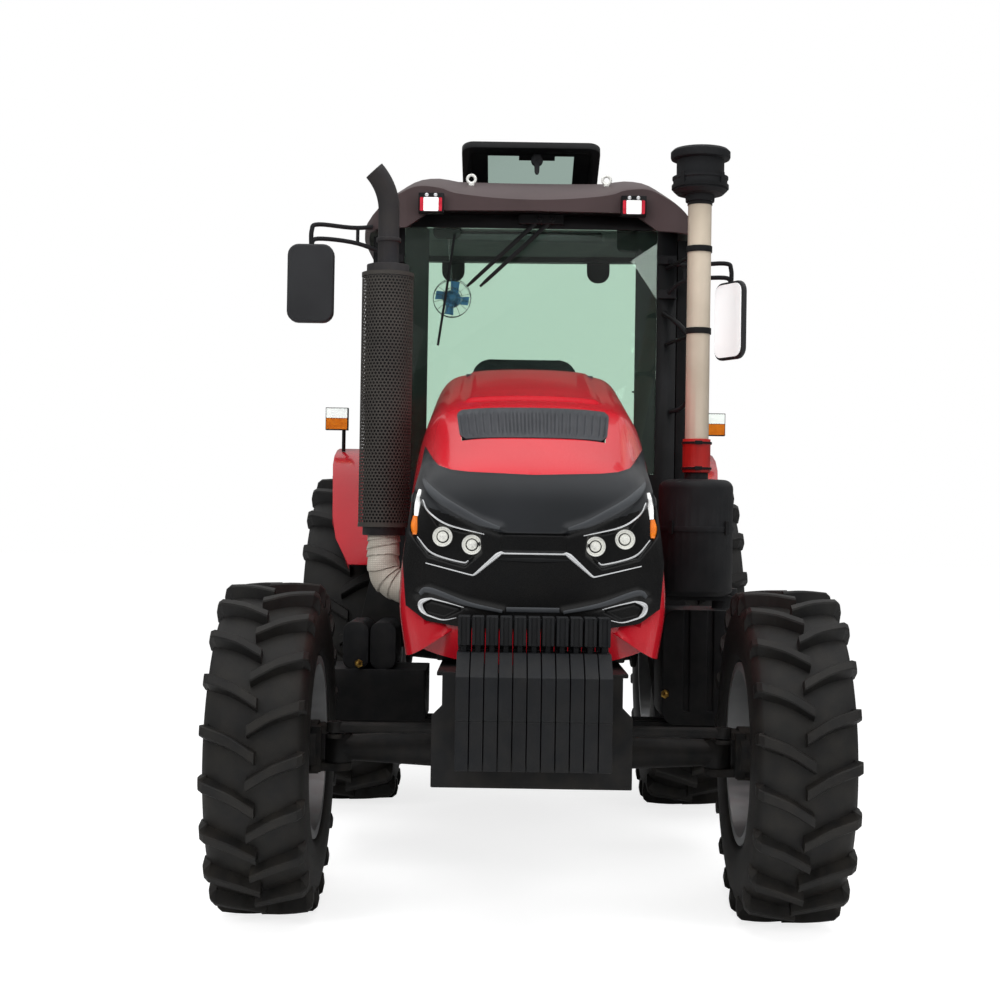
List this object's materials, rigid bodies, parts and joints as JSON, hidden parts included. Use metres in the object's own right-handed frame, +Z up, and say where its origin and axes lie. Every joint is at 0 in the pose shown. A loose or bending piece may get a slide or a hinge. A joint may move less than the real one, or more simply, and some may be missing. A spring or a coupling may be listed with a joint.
{
  "type": "farm tractor",
  "caption": "Farm tractor with a glazed cab, hinged bonnet, steered front wheels, front ballast weights, side exhaust and intake stacks and a rear three-point hitch.",
  "frame": {"origin": "on the ground under the middle of the overall box", "axes": "+Z up, the tractor faces -Y, its left side is +X"},
  "size_m": [2.35, 4.9, 3.4055],
  "materials": {
    "red_paint": "gloss red paint with light road dust",
    "black_paint": "satin black paint",
    "grey_casting": "dark grey painted casting",
    "weight_iron": "grey painted iron",
    "tyre_rubber": "black rubber with dust between the lugs",
    "rim_silver": "silver grey paint",
    "bright_steel": "ground rod",
    "roof_paint": "metallic taupe paint",
    "clear_glass": "green tinted safety glass",
    "dark_glass": "dark tinted glass",
    "black_plastic": "moulded black plastic",
    "lamp_plastic": "clear lamp covers",
    "grille_plastic": "dark grey moulded grille",
    "exhaust_steel": "heat darkened steel",
    "wrap_cloth": "white heat wrap",
    "pipe_beige": "plain beige grey pipe",
    "hose_red": "red rubber hose",
    "seat_cloth": "dark woven cloth"
  },
  "bodies": {
    "chassis": {"chassis_frame": "black_paint", "weight_bracket": "black_paint", "front_axle_beam": "black_paint", "side_carriers": "black_paint", "steps": "black_paint", "cab_frame": "black_paint", "intake_straps": "black_paint", "mirrors": "black_paint", "drawbar": "black_paint", "steering_cylinder": "black_paint", "front_weights": "weight_iron", "engine_block": "grey_casting", "gearbox": "grey_casting", "rear_axle_housing": "grey_casting", "hitch_carrier": "grey_casting", "top_link": "grey_casting", "fenders": "red_paint", "fuel_tank": "black_plastic", "battery_box": "black_plastic", "air_cleaner": "black_plastic", "pre_cleaner": "black_plastic", "cab_controls": "black_plastic", "wipers": "black_plastic", "lamps": "lamp_plastic", "exhaust_stack": "exhaust_steel", "heat_shield": "exhaust_steel", "exhaust_elbow": "wrap_cloth", "intake_hose": "hose_red", "intake_stack": "pipe_beige", "cab_glass": "clear_glass", "cab_roof": "roof_paint", "seat_pads": "seat_cloth"},
    "knuckle_left": {"front_knuckle_left": "grey_casting"},
    "knuckle_right": {"front_knuckle_right": "grey_casting"},
    "front_wheel_left": {"front_tyre_left": "tyre_rubber", "front_rim_left": "rim_silver"},
    "front_wheel_right": {"front_tyre_right": "tyre_rubber", "front_rim_right": "rim_silver"},
    "rear_wheel_left": {"rear_tyre_left": "tyre_rubber", "rear_rim_left": "rim_silver"},
    "rear_wheel_right": {"rear_tyre_right": "tyre_rubber", "rear_rim_right": "rim_silver"},
    "steering_rod": {"steering_rod": "bright_steel"},
    "bonnet": {"bonnet": "red_paint", "bonnet_vent": "grille_plastic", "nose_panel": "red_paint", "nose_mask": "black_plastic", "head_lamps": "lamp_plastic"},
    "door_left": {"door_frame_left": "black_paint", "door_glass_left": "clear_glass"},
    "door_right": {"door_frame_right": "black_paint", "door_glass_right": "clear_glass"},
    "hatch": {"hatch_frame": "black_paint", "hatch_glass": "dark_glass"},
    "lift_arms": {"lift_arms": "grey_casting"},
    "lift_rods": {"lift_rods": "grey_casting"},
    "lower_links": {"lower_links": "grey_casting"}
  },
  "joints": [
    {"name": "steer_left", "type": "hinge", "parent": "chassis", "child": "knuckle_left", "pos_m": [0.735, -1.4, 0.635], "axis": [0, 0, 1], "range_deg": [-40, 40]},
    {"name": "steer_right", "type": "hinge", "parent": "chassis", "child": "knuckle_right", "pos_m": [-0.735, -1.4, 0.635], "axis": [0, 0, 1], "range_deg": [-40, 40]},
    {"name": "steering_rod_slide", "type": "slide", "parent": "chassis", "child": "steering_rod", "axis": [1, 0, 0], "range_m": [-0.1095, 0.1095]},
    {"name": "front_left_spin", "type": "hinge", "parent": "knuckle_left", "child": "front_wheel_left", "pos_m": [0.986, -1.4, 0.635], "axis": [1, 0, 0], "continuous": true},
    {"name": "front_right_spin", "type": "hinge", "parent": "knuckle_right", "child": "front_wheel_right", "pos_m": [-0.986, -1.4, 0.635], "axis": [1, 0, 0], "continuous": true},
    {"name": "rear_left_spin", "type": "hinge", "parent": "chassis", "child": "rear_wheel_left", "pos_m": [0.896, 1.25, 0.875], "axis": [1, 0, 0], "continuous": true},
    {"name": "rear_right_spin", "type": "hinge", "parent": "chassis", "child": "rear_wheel_right", "pos_m": [-0.896, 1.25, 0.875], "axis": [1, 0, 0], "continuous": true},
    {"name": "bonnet_hinge", "type": "hinge", "parent": "chassis", "child": "bonnet", "pos_m": [0, -0.25, 2.14], "axis": [-1, 0, 0], "range_deg": [0, 45]},
    {"name": "door_left_hinge", "type": "hinge", "parent": "chassis", "child": "door_left", "pos_m": [0.745, 0.905, 2.1], "axis": [0, 0, 1], "range_deg": [0, 75]},
    {"name": "door_right_hinge", "type": "hinge", "parent": "chassis", "child": "door_right", "pos_m": [-0.745, 0.905, 2.1], "axis": [0, 0, -1], "range_deg": [0, 75]},
    {"name": "hatch_hinge", "type": "hinge", "parent": "chassis", "child": "hatch", "pos_m": [0, 0.85, 3.198], "axis": [1, 0, 0], "range_deg": [0, 20]},
    {"name": "lift_shaft_turn", "type": "hinge", "parent": "chassis", "child": "lift_arms", "pos_m": [0, 1.64, 1], "axis": [1, 0, 0], "range_deg": [-30, 30]},
    {"name": "lower_link_turn", "type": "hinge", "parent": "chassis", "child": "lower_links", "pos_m": [0, 1.48, 0.56], "axis": [1, 0, 0], "range_deg": [-20, 20]},
    {"name": "lift_rod_turn", "type": "hinge", "parent": "lift_arms", "child": "lift_rods", "pos_m": [0, 1.96499, 1.0573], "axis": [1, 0, 0], "range_deg": [-27, 27]}
  ],
  "couplings": [
    {"joint": "steer_right", "follows": "steer_left", "ratio": 1},
    {"joint": "steering_rod_slide", "follows": "steer_left", "m_per_rad": 0.1565},
    {"joint": "lower_link_turn", "follows": "lift_shaft_turn", "ratio": 0.657},
    {"joint": "lift_rod_turn", "follows": "lift_shaft_turn", "ratio": -0.882}
  ]
}
